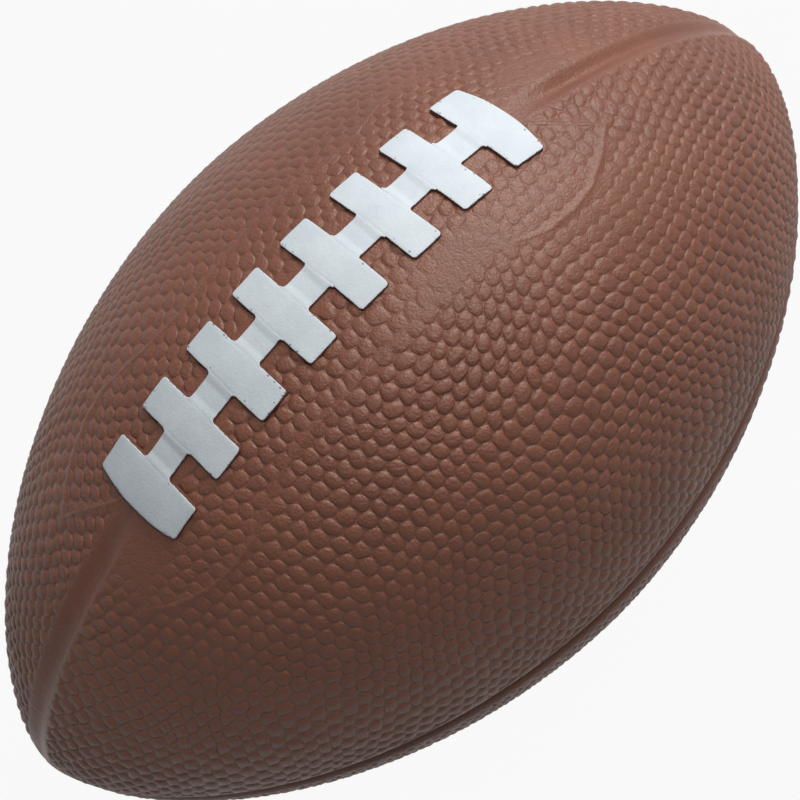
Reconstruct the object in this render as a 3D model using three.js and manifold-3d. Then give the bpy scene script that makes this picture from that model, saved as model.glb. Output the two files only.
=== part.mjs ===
// A moulded foam american football: a foam core, four skin panels that meet at the
// seam grooves, and raised lacing made of one spine and a row of bars across it.
// Millimetres. +X runs along the ball, +Z goes up through the lacing, and the origin
// is under the middle of the ball, on the face that it rests on.

import * as THREE from 'three';
import { mergeVertices } from 'three/addons/utils/BufferGeometryUtils.js';
import Module from 'manifold-3d';

// Ball
const ballLength = 216;
const ballDiameter = 128.7;
const middleFullness = 1.92; // power of the profile: higher keeps the middle wider for longer
const endBluntness = 0.633; // root of the profile: lower makes the two ends blunter
const tipRadius = 1; // where the panels stop short of the long axis at each end
const restFlatDepth = 0.5; // how far the foam flattens where the ball lies

// Skin
const grooveWidth = 6;
const grooveDepth = 1.6;
const grooveFloor = 1.2; // skin that is left under a groove
const grooveTipRadius = 14; // a groove gets shallower where the ball is slimmer than this
const grooveTipAngle = 0.45; // widest half angle of a groove near the tips, in radians
const grooveRunOut = 9; // length over which the top groove fades out towards the lacing

// Lacing
const laceBarCount = 8;
const laceShift = -5; // the row of bars lies a little nearer to one tip
const laceBarWidth = 6.9;
const laceBarGap = 6.0; // clear space between two bars
const laceBarLength = 21.7; // measured round the ball
const laceBarThickness = 0.6; // over the spine
const laceBarTaper = 0.06; // share of its width that a bar loses at its rounded ends
const laceTaperPower = 6; // higher keeps a bar's sides straight for longer
const laceEndBulge = 1.3; // how far the outer edge of the two end bars swells out
const laceSpineWidth = 6.6;
const laceSpineThickness = 0.6;
const laceSpineInset = 1.2; // how far the spine stops inside the outer edge of the end bars
const laceEdgeDrop = 0.25; // how far spine and bars round off towards their edges
const laceEdgePower = 4; // higher keeps their tops flat for longer
const laceRecessRamp = 0.8; // slope from a bar's legs up to its recess over the spine

// Clearances
const seamGap = 0.3; // between two panels, along each groove
const fitGap = 0.3; // between pieces that lie on each other

// Mesh fineness
const lengthSteps = 28;
const bodySteps = 8; // across a panel between its grooves
const grooveSteps = 3; // across half a groove
const barSideSteps = 3; // from a bar's middle to its long edge
const barLegSteps = 4; // from a bar's recess to its end
const spineSteps = 24;

const finishes = {
  skin: { color: 0x7a5546, roughness: 0.58, metalness: 0 },
  foam: { color: 0xd9c79f, roughness: 0.95, metalness: 0 },
  lacing: { color: 0xe3e7e8, roughness: 0.5, metalness: 0 },
};

const quarterTurn = Math.PI / 2;
const ballRadius = ballDiameter / 2;
const halfLength = ballLength / 2;
const skinDepth = grooveDepth + grooveFloor;
const restHeight = ballRadius - restFlatDepth;
const profileEnd = (1 - (tipRadius / ballRadius) ** (1 / endBluntness)) ** (1 / middleFullness);

const laceBarPitch = laceBarWidth + laceBarGap;
const laceHalfLength = ((laceBarCount - 1) * laceBarPitch + laceBarWidth) / 2;
const laceSpineTop = fitGap + laceSpineThickness;
const laceBarTop = laceSpineTop + fitGap + laceBarThickness;

const wasm = await Module();
wasm.setup();

// Radius of the ball at a station along it, from -1 at one tip to 1 at the other.
function profileRadius(station, inset = 0) {
  const fullness = 1 - Math.abs(station * profileEnd) ** middleFullness;
  return (ballRadius - inset) * fullness ** endBluntness;
}

// Point at a station and an angle from +Z towards +Y, with a radius of its own.
function roundPoint(x, radius, angle) {
  return new THREE.Vector3(x, radius * Math.sin(angle), radius * Math.cos(angle));
}

// Half angle that a groove takes up at a station.
function grooveHalfAngle(station) {
  return Math.min(grooveWidth / 2 / profileRadius(station), grooveTipAngle);
}

// Depth of a groove at an angle away from its seam; the top one fades out under the lacing.
function grooveDepthAt(station, angleFromSeam, isTopSeam) {
  const across = Math.min(1, angleFromSeam / grooveHalfAngle(station));
  const bell = (1 + Math.cos(Math.PI * across)) / 2;
  const tipFade = Math.min(1, profileRadius(station) / grooveTipRadius);
  const pastLacing = Math.abs(station * halfLength - laceShift) - laceHalfLength;
  const laceFade = isTopSeam ? THREE.MathUtils.smoothstep(pastLacing, 0, grooveRunOut) : 1;
  return grooveDepth * bell * tipFade * laceFade;
}

// Stations from tip to tip, closer together where the ball curves in to its ends.
function ballStations() {
  const stations = [];
  for (let i = 0; i <= lengthSteps; i += 1) {
    stations.push(Math.sin(((2 * i) / lengthSteps - 1) * quarterTurn));
  }
  return stations;
}

// Angles across one quarter of the ball: over half a groove, the body and half a groove.
function quarterAngles(station, stepsInGroove) {
  const groove = grooveHalfAngle(station);
  const angles = [];
  for (let i = 0; i < stepsInGroove; i += 1) {
    angles.push((groove * i) / stepsInGroove);
  }
  for (let i = 0; i <= bodySteps; i += 1) {
    angles.push(THREE.MathUtils.lerp(groove, quarterTurn - groove, i / bodySteps));
  }
  for (let i = stepsInGroove - 1; i >= 0; i -= 1) {
    angles.push(quarterTurn - (groove * i) / stepsInGroove);
  }
  return angles;
}

function geometryFrom(points, triangles) {
  const geometry = new THREE.BufferGeometry().setFromPoints(points);
  geometry.setIndex(triangles);
  return geometry;
}

// Closed solid between an outer and an inner grid of points, with walls along all four sides.
function patchSolid(outer, inner) {
  const rows = outer.length;
  const columns = outer[0].length;
  const innerStart = rows * columns;
  const triangles = [];
  const addQuad = (a, b, c, d) => triangles.push(a, b, c, a, c, d);
  for (let i = 0; i < rows - 1; i += 1) {
    for (let j = 0; j < columns - 1; j += 1) {
      const corner = [i * columns + j, (i + 1) * columns + j, (i + 1) * columns + j + 1, i * columns + j + 1];
      addQuad(...corner);
      addQuad(...corner.reverse().map((index) => index + innerStart));
    }
  }
  const rim = [];
  for (let i = 0; i < rows - 1; i += 1) rim.push(i * columns);
  for (let j = 0; j < columns - 1; j += 1) rim.push((rows - 1) * columns + j);
  for (let i = rows - 1; i > 0; i -= 1) rim.push(i * columns + columns - 1);
  for (let j = columns - 1; j > 0; j -= 1) rim.push(j);
  rim.forEach((from, k) => {
    const to = rim[(k + 1) % rim.length];
    addQuad(from, from + innerStart, to + innerStart, to);
  });
  return geometryFrom([...outer.flat(), ...inner.flat()], triangles);
}

// Closed solid through a row of rings, with a fan of triangles over each end.
function ringSolid(rings) {
  const count = rings[0].length;
  const points = rings.flat();
  const triangles = [];
  for (let i = 0; i < rings.length - 1; i += 1) {
    for (let j = 0; j < count; j += 1) {
      const next = (j + 1) % count;
      const [a, b] = [i * count + j, (i + 1) * count + j];
      const [c, d] = [(i + 1) * count + next, i * count + next];
      triangles.push(a, b, c, a, c, d);
    }
  }
  const lastRing = (rings.length - 1) * count;
  const startCentre = points.push(new THREE.Vector3(rings[0][0].x, 0, 0)) - 1;
  const endCentre = points.push(new THREE.Vector3(rings[rings.length - 1][0].x, 0, 0)) - 1;
  for (let j = 0; j < count; j += 1) {
    const next = (j + 1) % count;
    triangles.push(startCentre, j, next);
    triangles.push(endCentre, lastRing + next, lastRing + j);
  }
  return geometryFrom(points, triangles);
}

function solidOf(geometry) {
  const bare = geometry.clone();
  bare.deleteAttribute('normal');
  bare.deleteAttribute('uv');
  const merged = mergeVertices(bare);
  const vertProperties = new Float32Array(merged.getAttribute('position').array);
  const triVerts = new Uint32Array(merged.getIndex().array);
  return new wasm.Manifold(new wasm.Mesh({ numProp: 3, vertProperties, triVerts }));
}

function cutAway(geometry, cutter) {
  const { vertProperties, triVerts } = solidOf(geometry).subtract(solidOf(cutter)).getMesh();
  const cut = new THREE.BufferGeometry();
  cut.setAttribute('position', new THREE.BufferAttribute(vertProperties, 3));
  cut.setIndex(new THREE.BufferAttribute(triVerts, 1));
  return cut;
}

// Skin panel over one quarter of the ball, moved out by half a seam gap on both of its seams.
function skinPanel(quarter) {
  const startAngle = quarter * quarterTurn;
  const panelRadiusLoss = seamGap / 2;
  const outer = [];
  const inner = [];
  for (const station of ballStations()) {
    const angles = quarterAngles(station, grooveSteps);
    const innerRadius = profileRadius(station, skinDepth + panelRadiusLoss);
    const innerX = (halfLength - skinDepth) * station;
    outer.push(angles.map((angle) => {
      const seam = angle < quarterTurn / 2 ? quarter : (quarter + 1) % 4;
      const angleFromSeam = Math.min(angle, quarterTurn - angle);
      const depth = grooveDepthAt(station, angleFromSeam, seam === 0);
      const radius = profileRadius(station, panelRadiusLoss) - depth;
      return roundPoint(halfLength * station, radius, startAngle + angle);
    }));
    inner.push(angles.map((angle) => roundPoint(innerX, innerRadius, startAngle + angle)));
  }
  const middle = roundPoint(0, Math.SQRT2 * panelRadiusLoss, startAngle + quarterTurn / 2);
  return patchSolid(outer, inner).translate(0, middle.y, middle.z);
}

// Flat underside, where the two lower panels press on what the ball lies on.
function restFlat() {
  const block = new THREE.BoxGeometry(ballLength, ballDiameter, ballRadius);
  return block.translate(0, 0, -restHeight - ballRadius / 2);
}

// Foam that fills the skin.
function foamCore() {
  const inset = skinDepth + seamGap / 2 + fitGap;
  const rings = ballStations().map((station) => {
    const ring = [];
    for (let quarter = 0; quarter < 4; quarter += 1) {
      const angles = quarterAngles(station, 1).slice(0, -1);
      const radius = profileRadius(station, inset);
      const x = (halfLength - skinDepth - fitGap) * station;
      ring.push(...angles.map((angle) => roundPoint(x, radius, quarter * quarterTurn + angle)));
    }
    return ring;
  });
  return ringSolid(rings);
}

// Point on the skin at x along the ball and a distance round it, lifted square to the surface.
function lacingPoint(x, around, lift) {
  const step = 0.01;
  const station = x / halfLength;
  const radius = profileRadius(station);
  const slope = (profileRadius((x + step) / halfLength) - profileRadius((x - step) / halfLength)) / (2 * step);
  const steepness = Math.hypot(1, slope);
  return roundPoint(x - (lift * slope) / steepness, radius + lift / steepness, around / radius);
}

// Height of a rounded strip, from its crown down to its edge at an edge share of 1.
function roundedTop(crown, edgeShare) {
  return crown - laceEdgeDrop * (1 - Math.sqrt(Math.max(0, 1 - edgeShare ** laceEdgePower)));
}

// Shares from -1 to 1, closer together towards both ends.
function edgeShares(stepsPerSide) {
  const shares = [];
  for (let i = -stepsPerSide; i <= stepsPerSide; i += 1) {
    shares.push(Math.sin((i / stepsPerSide) * quarterTurn));
  }
  return shares;
}

// One strip along the row of bars, which the bars pass over.
function laceSpine() {
  const halfSpan = laceHalfLength - laceSpineInset;
  const outer = [];
  const inner = [];
  for (let i = 0; i <= spineSteps; i += 1) {
    const x = laceShift + THREE.MathUtils.lerp(-halfSpan, halfSpan, i / spineSteps);
    const row = edgeShares(barSideSteps).map((share) => ({ share, around: (share * laceSpineWidth) / 2 }));
    outer.push(row.map(({ share, around }) => lacingPoint(x, around, roundedTop(laceSpineTop, share))));
    inner.push(row.map(({ around }) => lacingPoint(x, around, fitGap)));
  }
  return patchSolid(outer, inner);
}

// Distances round the ball from a bar's middle to its end, with lines where its recess ends.
function barReaches() {
  const halfBar = laceBarLength / 2;
  const recess = laceSpineWidth / 2 + fitGap;
  const leg = recess + laceRecessRamp;
  const side = [recess / 2, recess, leg];
  for (let i = 1; i <= barLegSteps; i += 1) {
    side.push(THREE.MathUtils.lerp(leg, halfBar, Math.sin((i / barLegSteps) * quarterTurn)));
  }
  return [...side.map((reach) => -reach).reverse(), 0, ...side];
}

// One bar across the spine, with a recess under it where the spine passes. An end bar swells
// out on the side that faces away from the others: outwardSide is -1, 0 or 1.
function laceBar(middleX, outwardSide) {
  const recess = laceSpineWidth / 2 + fitGap;
  const reaches = barReaches();
  const outer = [];
  const inner = [];
  for (const share of edgeShares(barSideSteps)) {
    const row = reaches.map((around) => {
      const endShare = Math.abs(around) / (laceBarLength / 2);
      const halfWidth = (laceBarWidth / 2) * (1 - laceBarTaper * endShare ** laceTaperPower);
      const bulge = Math.max(0, share * outwardSide) * laceEndBulge * (1 - endShare ** 2);
      const x = middleX + share * halfWidth + outwardSide * bulge;
      return { around, x, edge: Math.max(Math.abs(share), endShare ** 2) };
    });
    outer.push(row.map(({ x, around, edge }) => lacingPoint(x, around, roundedTop(laceBarTop, edge))));
    inner.push(row.map(({ x, around }) => {
      const overSpine = Math.abs(around) <= recess;
      return lacingPoint(x, around, overSpine ? laceSpineTop + fitGap : fitGap);
    }));
  }
  return patchSolid(outer, inner);
}

function piece(name, geometry, finish) {
  geometry.computeVertexNormals();
  const mesh = new THREE.Mesh(geometry, new THREE.MeshStandardMaterial(finish));
  mesh.name = name;
  return mesh;
}

const body = new THREE.Group();
body.add(piece('foam_core', foamCore(), finishes.foam));
body.add(piece('skin_panel_upper_left', skinPanel(0), finishes.skin));
body.add(piece('skin_panel_lower_left', cutAway(skinPanel(1), restFlat()), finishes.skin));
body.add(piece('skin_panel_lower_right', cutAway(skinPanel(2), restFlat()), finishes.skin));
body.add(piece('skin_panel_upper_right', skinPanel(3), finishes.skin));

const lacing = new THREE.Group();
lacing.add(piece('lace_spine', laceSpine(), finishes.lacing));
for (let i = 0; i < laceBarCount; i += 1) {
  const middleX = laceShift + (i - (laceBarCount - 1) / 2) * laceBarPitch;
  const outwardSide = { 0: -1, [laceBarCount - 1]: 1 }[i] ?? 0;
  lacing.add(piece(`lace_bar_${i + 1}`, laceBar(middleX, outwardSide), finishes.lacing));
}

const football = new THREE.Group();
football.name = 'american_football';
football.position.z = restHeight;
football.add(body, lacing);

export default football;
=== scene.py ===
"""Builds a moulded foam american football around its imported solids.

The ball lies along X with its lacing on top. Four pebbled skin panels meet at
soft grooves round a foam core, and white lacing stands on the upper two.
All lengths are in metres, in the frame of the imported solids.
"""

import math
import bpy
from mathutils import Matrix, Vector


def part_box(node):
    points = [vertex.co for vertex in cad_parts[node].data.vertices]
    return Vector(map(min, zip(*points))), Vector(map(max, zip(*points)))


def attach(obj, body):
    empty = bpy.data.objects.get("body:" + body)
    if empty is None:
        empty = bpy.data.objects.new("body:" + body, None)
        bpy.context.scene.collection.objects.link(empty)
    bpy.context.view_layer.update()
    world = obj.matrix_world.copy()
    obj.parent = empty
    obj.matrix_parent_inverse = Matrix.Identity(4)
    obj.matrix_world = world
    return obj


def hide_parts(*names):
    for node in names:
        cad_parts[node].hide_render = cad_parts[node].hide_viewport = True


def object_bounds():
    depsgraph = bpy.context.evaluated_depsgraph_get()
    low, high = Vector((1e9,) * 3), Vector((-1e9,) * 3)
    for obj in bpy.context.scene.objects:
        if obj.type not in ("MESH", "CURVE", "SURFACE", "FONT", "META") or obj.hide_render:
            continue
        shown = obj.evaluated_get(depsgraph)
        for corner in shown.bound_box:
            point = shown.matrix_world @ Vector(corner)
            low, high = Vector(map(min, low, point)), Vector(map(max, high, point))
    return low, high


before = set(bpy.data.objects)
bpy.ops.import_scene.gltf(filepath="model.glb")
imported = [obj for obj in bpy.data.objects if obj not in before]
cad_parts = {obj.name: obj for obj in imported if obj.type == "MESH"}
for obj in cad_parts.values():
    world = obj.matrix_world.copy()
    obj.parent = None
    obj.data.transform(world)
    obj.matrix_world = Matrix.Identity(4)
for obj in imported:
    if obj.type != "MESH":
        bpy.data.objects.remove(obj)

from types import SimpleNamespace

import bmesh
import bpy
import numpy as np
from bpy.props import FloatProperty, FloatVectorProperty, IntProperty, PointerProperty
from mathutils import Matrix, Vector

bl_info = {
    "name": "Foam Football",
    "version": (1, 0, 0),
    "blender": (4, 5, 0),
    "location": "View3D > Sidebar > Football",
    "description": "Builds a pebbled foam football with raised white lacing",
    "category": "Add Mesh",
}

MM = 0.001
QUARTER_TURN = math.pi / 2

# Panels by the angle at which each starts, turning from the top towards +Y
UPPER_LEFT = "skin_panel_upper_left"
UPPER_RIGHT = "skin_panel_upper_right"
PANEL_STARTS = {
    UPPER_LEFT: 0.0,
    "skin_panel_lower_left": QUARTER_TURN,
    "skin_panel_lower_right": 2 * QUARTER_TURN,
    UPPER_RIGHT: 3 * QUARTER_TURN,
}

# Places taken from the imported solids
CAD_LOW, CAD_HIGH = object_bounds()
CORE_LOW, CORE_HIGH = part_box("foam_core")
PANEL_LOW, PANEL_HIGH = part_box(UPPER_LEFT)
CENTRE_HEIGHT = (CORE_LOW.z + CORE_HIGH.z) / 2
BALL_RADIUS = PANEL_HIGH.z - CENTRE_HEIGHT
BALL_LENGTH = PANEL_HIGH.x - PANEL_LOW.x
SKIN_THICKNESS = PANEL_HIGH.z - CORE_HIGH.z
SKIN_CLEARANCE = 0.3 * MM
SPINE_LOW, SPINE_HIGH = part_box("lace_spine")
LACE_MIDDLE = (SPINE_LOW.x + SPINE_HIGH.x) / 2

# How finely the pieces are divided
PROFILE_STEPS = 4001
PANEL_ROWS = 470
PANEL_COLUMNS = 190
INNER_COLUMNS = 6
SPINE_ROWS = 841
CORE_ROWS = 96
CORE_COLUMNS = 72
EDGE_STEPS = 5
CORNER_STEPS = 6
BAR_SIDE_STEPS = 22
BAR_END_STEPS = 8
BAR_TOP_SHARES = (0.2, 0.4, 0.6, 0.8, 1.0)
SPINE_TOP_SHARES = (-0.8, -0.6, -0.3, 0.0, 0.3, 0.6, 0.8)
SEAM_STEP = 0.2 * MM
OPEN_STEP = 0.55 * MM
SEAM_STEP_REACH = 5 * MM
TIP_OPENING = 0.05 * MM
WELD_DISTANCE = 0.001 * MM

# Seeds of the random draws, and what is added to a panel's own seed for its further draws
PANEL_SEED = 11
PANEL_SEED_STEP = 20
WANDER_ALONG_SEED = 1
WANDER_ROUND_SEED = 2
ROW_START_SEED = 3
LINE_SEED = 7
BAR_SEED = 200
CORE_SEED = 90

# Waves that make up a wandering value: how many, and their lengths as shares of its reach
WAVE_COUNT = 5
WAVE_PITCHES = (0.7, 1.8)

# Widest half of a groove, as a share of the ball's radius there
GROOVE_RADIUS_SHARE = 0.45

# Pebbles, counted in pitches: space between two staggered rows and where a pebble's side
# meets the ground; then the power that squares its plan, those that round it in the mesh
# and in the finer bump, and the share of its height that is sunk below the plain form
ROW_STEP = 0.93
PEBBLE_FOOT = 0.49
PEBBLE_SQUARENESS = 2.5
MESH_ROUNDING = 2.0
BUMP_ROUNDING = 4.0
PEBBLE_SINK = 0.6

# How far rows of pebbles wander, where they may start, and how pebbles vary in height
ROW_WANDER = 2.4 * MM
ROW_WANDER_REACH = 45 * MM
ROW_STARTS = 50
PEBBLE_LEVEL = 0.95
PEBBLE_SWELL = 0.12
PEBBLE_SWELL_REACH = 30 * MM

# Where pebbles fade out: from a groove's middle in groove widths, at a tip, and at the lacing
GROOVE_BARE = 0.44
GROOVE_FADE = 1 * MM
TIP_BARE = 3 * MM
TIP_FADE = 8 * MM
SPINE_BARE = 1 * MM
LACING_BARE = 0.3 * MM
LACING_FADE = 1.2 * MM

# A quarter of the raised line round the lacing: along and across, from the lacing's middle
RAISED_LINE = (
    (51.2 * MM, 3.4 * MM),
    (62.0 * MM, 12.8 * MM),
    (56.4 * MM, 17.3 * MM),
    (50.5 * MM, 20.8 * MM),
    (44.5 * MM, 22.6 * MM),
    (38.5 * MM, 22.8 * MM),
    (28.8 * MM, 19.5 * MM),
    (18.8 * MM, 18.1 * MM),
    (8.0 * MM, 19.0 * MM),
    (0.0, 19.2 * MM),
)

# How the line strays, how it flattens the pebbles beside it, and how it fades on the left
LINE_STRAY = 0.5 * MM
LINE_STRAY_REACH = 18 * MM
LINE_CLEARING = 0.85
LINE_CLEARING_WIDTH = 0.7
LEFT_LINE_SHARE = 0.75
LEFT_LINE_END = 30 * MM
LEFT_LINE_FADE = 14 * MM
FAR_FROM_LINE = 10 * MM

# Where pebbles stand taller or flatter: share, along, across, half length, half width
RELIEF_SWELLS = {
    UPPER_RIGHT: (
        (0.28, 5 * MM, -36 * MM, 27 * MM, 22 * MM),
        (-0.72, 43 * MM, -23 * MM, 23 * MM, 17 * MM),
        (-0.36, -15 * MM, -50 * MM, 36 * MM, 13 * MM),
        (-0.4, -54 * MM, -24 * MM, 26 * MM, 20 * MM),
    ),
    UPPER_LEFT: ((-0.5, 15 * MM, 40 * MM, 65 * MM, 45 * MM),),
}

# Smooth places: along, across, half length, half width
SMOOTH_PATCHES = {
    UPPER_RIGHT: (
        (16 * MM, -15.5 * MM, 17 * MM, 7 * MM),
        (-60 * MM, -7 * MM, 9 * MM, 7 * MM),
    ),
    UPPER_LEFT: ((57 * MM, 6 * MM, 12 * MM, 5 * MM),),
}

# Foot of the lacing: its spread and its depth in the skin; then the skirt above it: its
# spread, and its height on a bar and on the spine
FOOT_SPREAD = 0.3 * MM
FOOT_DEPTH = 0.5 * MM
SKIRT_SPREAD = 0.1 * MM
BAR_SKIRT = 0.15 * MM
SPINE_SKIRT = 0.2 * MM

# How far the spine's foot and its top count as above the coat's lower edge, in millimetres
BARE_COAT = -2.0
FULL_COAT = 1.0

# Stretches over which the lacing strays, from its middle: where each starts and its length
SHIFT_START = 13 * MM
SHIFT_RUN = 32 * MM
LEAN_START = -25 * MM
LEAN_RUN = 60 * MM

# Bars: how their sides waver, how the crown falls to the sides, and where pinholes show
BAR_WAVER = 0.1 * MM
BAR_WAVER_REACH = 6 * MM
CROWN_FALL = 0.5
PIT_START = 0.5 * MM
PIT_REACH = 0.6 * MM

# Spine under a bar: where it starts to drop, in edges, and by how much of the bar's height
UNDER_BAR_START = 1.5
UNDER_BAR_DROP = 0.5

# Core: its gap to the skin, its uneven surface, and the ball's radius below which that fades
CORE_GAP = 0.35 * MM
CORE_UNEVEN = 0.15 * MM
CORE_UNEVEN_REACH = 25 * MM
CORE_FADE_RADIUS = 20 * MM

# Sockets of a Mix node that carry its colours
MIX_FIRST_COLOUR = 6
MIX_SECOND_COLOUR = 7
MIX_RESULT_COLOUR = 2

# Lamps: side of the square, direction from the ball, distance
KEY_LAMP = (0.2, (0.71, 0.22, 0.67), 0.8)
TOP_LAMP = (0.25, (0.37, -0.2, 0.91), 0.9)

# Stage: half the floor, its own grey, how white it shows, white of the surroundings, and
# the camera's aim from the ball's centre and its nearest sight
FLOOR_HALF = 3.0
FLOOR_GREY = (0.18, 0.18, 0.18, 1.0)
FLOOR_WHITE_SHARE = 0.94
STUDIO_WHITE = (0.85, 0.85, 0.85, 1.0)
PURE_WHITE = (1.0, 1.0, 1.0, 1.0)
AIM_OFFSET = (-2.14 * MM, 0.5 * MM, 0.0)
NEAREST_SIGHT = 0.01


def length(name, description, default):
    """Makes a length property in metres."""
    return FloatProperty(
        name=name,
        description=description,
        default=default,
        min=0.0,
        precision=5,
        subtype="DISTANCE",
        unit="LENGTH",
    )


def offset(name, description, default):
    """Makes a place property in metres, of either sign."""
    return FloatProperty(
        name=name,
        description=description,
        default=default,
        precision=5,
        subtype="DISTANCE",
        unit="LENGTH",
    )


def factor(name, description, default):
    """Makes a plain number property."""
    return FloatProperty(name=name, description=description, default=default, precision=3)


def angle(name, description, degrees):
    """Makes an angle property."""
    return FloatProperty(
        name=name,
        description=description,
        default=math.radians(degrees),
        subtype="ANGLE",
        unit="ROTATION",
    )


def colour(name, description, default):
    """Makes a colour property."""
    return FloatVectorProperty(
        name=name,
        description=description,
        default=default,
        size=3,
        min=0.0,
        max=1.0,
        subtype="COLOR",
    )


class BallSizes(bpy.types.PropertyGroup):
    """Sizes of the ball and its skin"""

    ball_length: length("Length", "Ball from tip to tip", BALL_LENGTH)
    diameter: length("Diameter", "Ball across its middle", 2 * BALL_RADIUS)
    fullness: factor("Fullness", "Power that fills the middle of the outline", 1.92)
    bluntness: factor("Bluntness", "Power that sharpens the ends of the outline", 0.633)
    tip_radius: length("Tip radius", "Flat disc at each tip", 1 * MM)
    skin_thickness: length("Skin thickness", "Depth of a panel", SKIN_THICKNESS - SKIN_CLEARANCE)
    seam_gap: length("Seam gap", "Space between two panels", 0.02 * MM)
    groove_width: length("Groove width", "Seam groove from edge to edge", 6.5 * MM)
    groove_depth: length("Groove depth", "Seam groove at its middle", 1.6 * MM)
    groove_fade_radius: length("Groove fade", "Ball radius below which grooves fade", 8 * MM)
    groove_run_out: length("Groove run-out", "Stretch over which a groove starts at the lacing", 16 * MM)
    pebble_pitch: length("Pebble pitch", "Space from pebble to pebble", 3.17 * MM)
    pebble_height: length("Pebble height", "Rise of a pebble from its foot", 0.62 * MM)
    pebble_disorder: factor("Pebble disorder", "How far pebbles stray from rows", 0.45)
    line_height: length("Line height", "Rise of the raised line", 0.2 * MM)
    line_width: length("Line width", "Width of the raised line", 1.5 * MM)


class LacingSizes(bpy.types.PropertyGroup):
    """Sizes of the raised lacing"""

    bar_count: IntProperty(name="Bars", description="Bars across the spine", default=8, min=2)
    middle: offset("Middle", "Middle of the row of bars along the ball", LACE_MIDDLE)
    bar_pitch: length("Bar pitch", "Space from bar to bar", 12.9 * MM)
    bar_width: length("Bar width", "Bar along the ball", 6.9 * MM)
    bar_length: length("Bar length", "Bar round the ball", 21.7 * MM)
    bar_height: length("Bar height", "Rise of a bar above the skin", 0.65 * MM)
    bar_edge: length("Bar edge", "Rounding of a bar's upper edge", 0.2 * MM)
    bar_corner: length("Bar corner", "Rounding of a bar's corners", 0.7 * MM)
    bar_crown: length("Bar crown", "Extra height at a bar's middle", 0.12 * MM)
    end_bulge: length("End bulge", "Outward curve of the two end bars", 1.3 * MM)
    spine_width: length("Spine width", "Strip between the bars", 6.5 * MM)
    spine_dip: length("Spine dip", "Drop of the strip halfway between bars", 0.2 * MM)
    spine_ramp: length("Spine ramp", "Stretch over which the strip dips", 1.8 * MM)
    inner_corner: length("Inner corner", "Fillet between strip and bar", 0.7 * MM)
    side_shift: length("Side shift", "Sideways stray of the lacing at its +X end", 1.0 * MM)
    lean: length("Lean", "How far a bar's ends lie askew at the +X end", 1.6 * MM)


class FinishColours(bpy.types.PropertyGroup):
    """Colours of the finishes"""

    skin: colour("Skin", "Brown of the pebbles", (0.2, 0.072, 0.042))
    skin_deep: colour("Skin shade", "Second brown that the first wanders to", (0.172, 0.06, 0.035))
    # Darker brown painted as shade into the pebbles' feet and the side grooves, and given to the
    # lacing's uncoated foam and pinholes as bare foam darkened by painted shade
    shade_and_bare_brown: colour("Shade and bare brown", "Dark brown of side grooves and uncoated lacing", (0.12, 0.046, 0.03))
    lacing: colour("Lacing", "White coat of the lacing", (0.7, 0.76, 0.8))
    lacing_worn: colour("Worn lacing", "Greyer white in worn places", (0.64, 0.7, 0.74))
    foam: colour("Foam", "Foam inside the ball", (0.69, 0.57, 0.35))
    foam_dark: colour("Foam pores", "Darker foam in its pores", (0.5, 0.39, 0.22))


class StageSettings(bpy.types.PropertyGroup):
    """Camera and light"""

    azimuth: angle("Azimuth", "Camera round the ball from +X", -104.03)
    elevation: angle("Elevation", "Camera above the horizon", 65.2)
    roll: angle("Roll", "Turn of the camera about its view", -33.5)
    distance: length("Distance", "Camera from the ball's centre", 346.9 * MM)
    lens: factor("Lens", "Focal length in millimetres", 72.46)
    key_power: factor("Key power", "Power of the main lamp in watts", 4.5)
    top_power: factor("Top power", "Power of the lamp overhead in watts", 3.2)
    ambient: factor("Ambient", "Strength of the light from all round", 0.012)


# Shape of the ball

def ball_profile(ball):
    """Returns the outline: place along the axis, radius, and length over the surface."""
    end_ratio = 2 * ball.tip_radius / ball.diameter
    end = (1 - end_ratio ** (1 / ball.bluntness)) ** (1 / ball.fullness)
    station = np.sin(np.linspace(-QUARTER_TURN, QUARTER_TURN, PROFILE_STEPS))
    along = station * ball.ball_length / 2
    radius = ball.diameter / 2 * (1 - np.abs(station * end) ** ball.fullness) ** ball.bluntness
    steps = np.hypot(np.diff(along), np.diff(radius))
    surface = np.concatenate([[0.0], np.cumsum(steps)])
    return along, radius, surface - surface[-1] / 2


def ball_rows(ball, count):
    """Spreads rows evenly over the surface: place on it, place along the axis, and radius."""
    along, radius, surface = ball_profile(ball)
    rows = np.linspace(surface[0], surface[-1], count + 1)[:, None]
    return rows, np.interp(rows, surface, along), np.interp(rows, surface, radius)


def inner_shares(ball, depth):
    """Shares of the radius and of the length that are left at a depth below the skin."""
    return 1 - depth / (ball.diameter / 2), 1 - depth / (ball.ball_length / 2)


def round_axis(along, radius, turn):
    """Places points round the ball's axis, turned from the top towards +Y."""
    y = radius * np.sin(turn)
    z = radius * np.cos(turn) + CENTRE_HEIGHT
    return np.stack(np.broadcast_arrays(along, y, z), axis=-1)


def on_ball(ball, along, across, lift):
    """Places points given along the ball, round it from the top, and above the skin."""
    profile_along, profile_radius, _ = ball_profile(ball)
    radius = np.interp(along, profile_along, profile_radius)
    slope = np.interp(along, profile_along, np.gradient(profile_radius, profile_along))
    tilt = 1 / np.sqrt(1 + slope**2)
    return round_axis(along - lift * slope * tilt, radius + lift * tilt, across / radius)


def ease(value):
    """Rises smoothly from 0 to 1 as value goes from 0 to 1."""
    held = np.clip(value, 0.0, 1.0)
    return held * held * (3 - 2 * held)


def groove_shape(ball, radius, distance):
    """Depth of a seam groove at a distance from the seam."""
    half_width = np.minimum(ball.groove_width / 2, radius * GROOVE_RADIUS_SHARE)
    share = np.minimum(distance / half_width, 1.0)
    fade = np.minimum(radius / ball.groove_fade_radius, 1.0)
    return ball.groove_depth * fade * (1 + np.cos(math.pi * share)) / 2


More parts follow.
